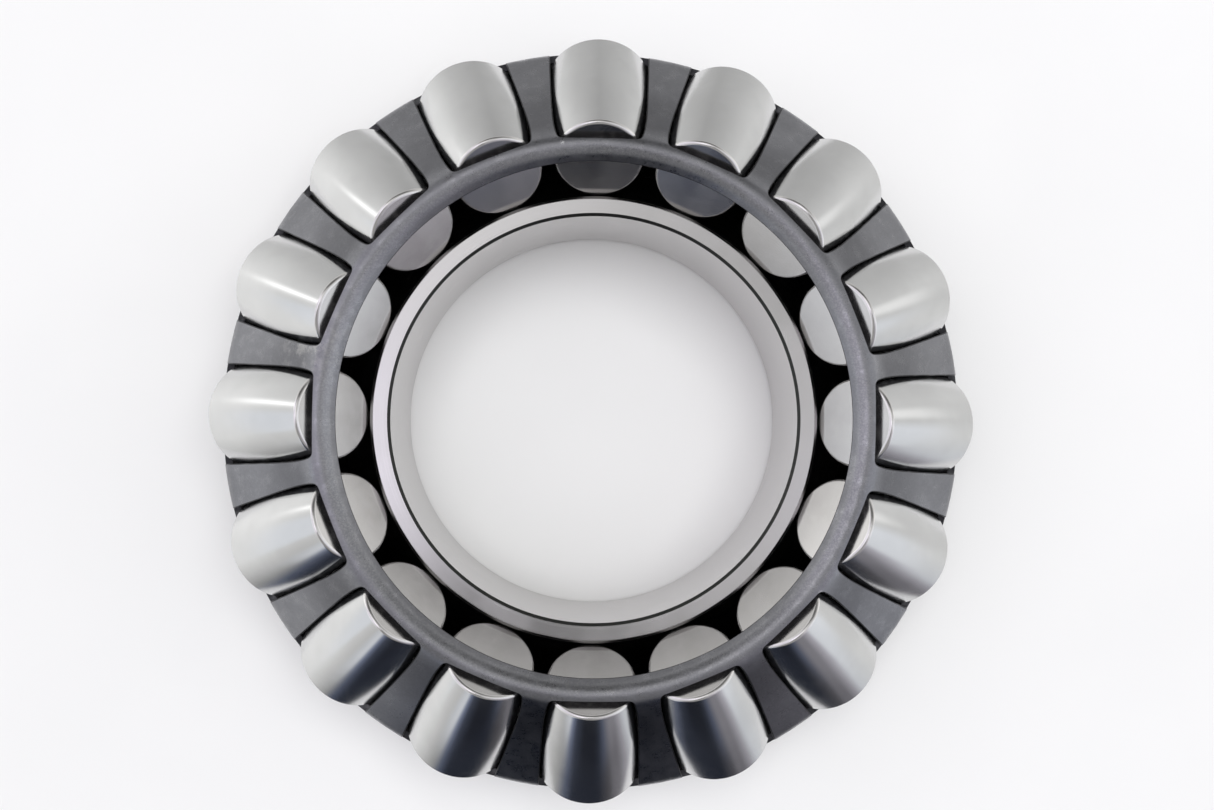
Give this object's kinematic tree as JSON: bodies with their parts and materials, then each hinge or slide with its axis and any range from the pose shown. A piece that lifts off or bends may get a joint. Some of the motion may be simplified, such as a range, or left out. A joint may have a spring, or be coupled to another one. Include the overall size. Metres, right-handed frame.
{
  "type": "spherical roller thrust bearing",
  "caption": "Shaft washer of a spherical roller thrust bearing, with barrel rollers held in a windowed sheet steel cage, without its housing washer.",
  "frame": {"origin": "middle of the shaft washer's large face, on the bore axis", "axes": "+Z along the bore axis, from the large face towards the small face; +X through the axis of roller_01"},
  "size_m": [0.23, 0.23, 0.0667],
  "materials": {
    "washer_steel": "satin ground",
    "roller_steel": "fine ground, polished barrel",
    "cage_steel": "dark phosphated, matt"
  },
  "bodies": {
    "shaft_washer": {"shaft_washer": "washer_steel"},
    "cage": {"cage": "cage_steel"},
    "roller_01": {"roller_01": "roller_steel"},
    "roller_02": {"roller_02": "roller_steel"},
    "roller_03": {"roller_03": "roller_steel"},
    "roller_04": {"roller_04": "roller_steel"},
    "roller_05": {"roller_05": "roller_steel"},
    "roller_06": {"roller_06": "roller_steel"},
    "roller_07": {"roller_07": "roller_steel"},
    "roller_08": {"roller_08": "roller_steel"},
    "roller_09": {"roller_09": "roller_steel"},
    "roller_10": {"roller_10": "roller_steel"},
    "roller_11": {"roller_11": "roller_steel"},
    "roller_12": {"roller_12": "roller_steel"},
    "roller_13": {"roller_13": "roller_steel"},
    "roller_14": {"roller_14": "roller_steel"},
    "roller_15": {"roller_15": "roller_steel"},
    "roller_16": {"roller_16": "roller_steel"}
  },
  "joints": [
    {"name": "cage_spin", "type": "hinge", "parent": "shaft_washer", "child": "cage", "pos_m": [0, 0, 0.04], "axis": [0, 0, 1], "continuous": true},
    {"name": "roller_01_spin", "type": "hinge", "parent": "cage", "child": "roller_01", "pos_m": [0.09005, 0, 0.04368], "axis": [0.7343, 0, -0.6788], "continuous": true},
    {"name": "roller_02_spin", "type": "hinge", "parent": "cage", "child": "roller_02", "pos_m": [0.0832, 0.03446, 0.04368], "axis": [0.6784, 0.281, -0.6788], "continuous": true},
    {"name": "roller_03_spin", "type": "hinge", "parent": "cage", "child": "roller_03", "pos_m": [0.06368, 0.06368, 0.04368], "axis": [0.5192, 0.5192, -0.6788], "continuous": true},
    {"name": "roller_04_spin", "type": "hinge", "parent": "cage", "child": "roller_04", "pos_m": [0.03446, 0.0832, 0.04368], "axis": [0.281, 0.6784, -0.6788], "continuous": true},
    {"name": "roller_05_spin", "type": "hinge", "parent": "cage", "child": "roller_05", "pos_m": [0, 0.09005, 0.04368], "axis": [0, 0.7343, -0.6788], "continuous": true},
    {"name": "roller_06_spin", "type": "hinge", "parent": "cage", "child": "roller_06", "pos_m": [-0.03446, 0.0832, 0.04368], "axis": [-0.281, 0.6784, -0.6788], "continuous": true},
    {"name": "roller_07_spin", "type": "hinge", "parent": "cage", "child": "roller_07", "pos_m": [-0.06368, 0.06368, 0.04368], "axis": [-0.5192, 0.5192, -0.6788], "continuous": true},
    {"name": "roller_08_spin", "type": "hinge", "parent": "cage", "child": "roller_08", "pos_m": [-0.0832, 0.03446, 0.04368], "axis": [-0.6784, 0.281, -0.6788], "continuous": true},
    {"name": "roller_09_spin", "type": "hinge", "parent": "cage", "child": "roller_09", "pos_m": [-0.09005, 0, 0.04368], "axis": [-0.7343, 0, -0.6788], "continuous": true},
    {"name": "roller_10_spin", "type": "hinge", "parent": "cage", "child": "roller_10", "pos_m": [-0.0832, -0.03446, 0.04368], "axis": [-0.6784, -0.281, -0.6788], "continuous": true},
    {"name": "roller_11_spin", "type": "hinge", "parent": "cage", "child": "roller_11", "pos_m": [-0.06368, -0.06368, 0.04368], "axis": [-0.5192, -0.5192, -0.6788], "continuous": true},
    {"name": "roller_12_spin", "type": "hinge", "parent": "cage", "child": "roller_12", "pos_m": [-0.03446, -0.0832, 0.04368], "axis": [-0.281, -0.6784, -0.6788], "continuous": true},
    {"name": "roller_13_spin", "type": "hinge", "parent": "cage", "child": "roller_13", "pos_m": [0, -0.09005, 0.04368], "axis": [0, -0.7343, -0.6788], "continuous": true},
    {"name": "roller_14_spin", "type": "hinge", "parent": "cage", "child": "roller_14", "pos_m": [0.03446, -0.0832, 0.04368], "axis": [0.281, -0.6784, -0.6788], "continuous": true},
    {"name": "roller_15_spin", "type": "hinge", "parent": "cage", "child": "roller_15", "pos_m": [0.06368, -0.06368, 0.04368], "axis": [0.5192, -0.5192, -0.6788], "continuous": true},
    {"name": "roller_16_spin", "type": "hinge", "parent": "cage", "child": "roller_16", "pos_m": [0.0832, -0.03446, 0.04368], "axis": [0.6784, -0.281, -0.6788], "continuous": true}
  ],
  "couplings": [
    {"joint": "roller_01_spin", "follows": "cage_spin", "ratio": -5.014},
    {"joint": "roller_02_spin", "follows": "cage_spin", "ratio": -5.014},
    {"joint": "roller_03_spin", "follows": "cage_spin", "ratio": -5.014},
    {"joint": "roller_04_spin", "follows": "cage_spin", "ratio": -5.014},
    {"joint": "roller_05_spin", "follows": "cage_spin", "ratio": -5.014},
    {"joint": "roller_06_spin", "follows": "cage_spin", "ratio": -5.014},
    {"joint": "roller_07_spin", "follows": "cage_spin", "ratio": -5.014},
    {"joint": "roller_08_spin", "follows": "cage_spin", "ratio": -5.014},
    {"joint": "roller_09_spin", "follows": "cage_spin", "ratio": -5.014},
    {"joint": "roller_10_spin", "follows": "cage_spin", "ratio": -5.014},
    {"joint": "roller_11_spin", "follows": "cage_spin", "ratio": -5.014},
    {"joint": "roller_12_spin", "follows": "cage_spin", "ratio": -5.014},
    {"joint": "roller_13_spin", "follows": "cage_spin", "ratio": -5.014},
    {"joint": "roller_14_spin", "follows": "cage_spin", "ratio": -5.014},
    {"joint": "roller_15_spin", "follows": "cage_spin", "ratio": -5.014},
    {"joint": "roller_16_spin", "follows": "cage_spin", "ratio": -5.014}
  ]
}
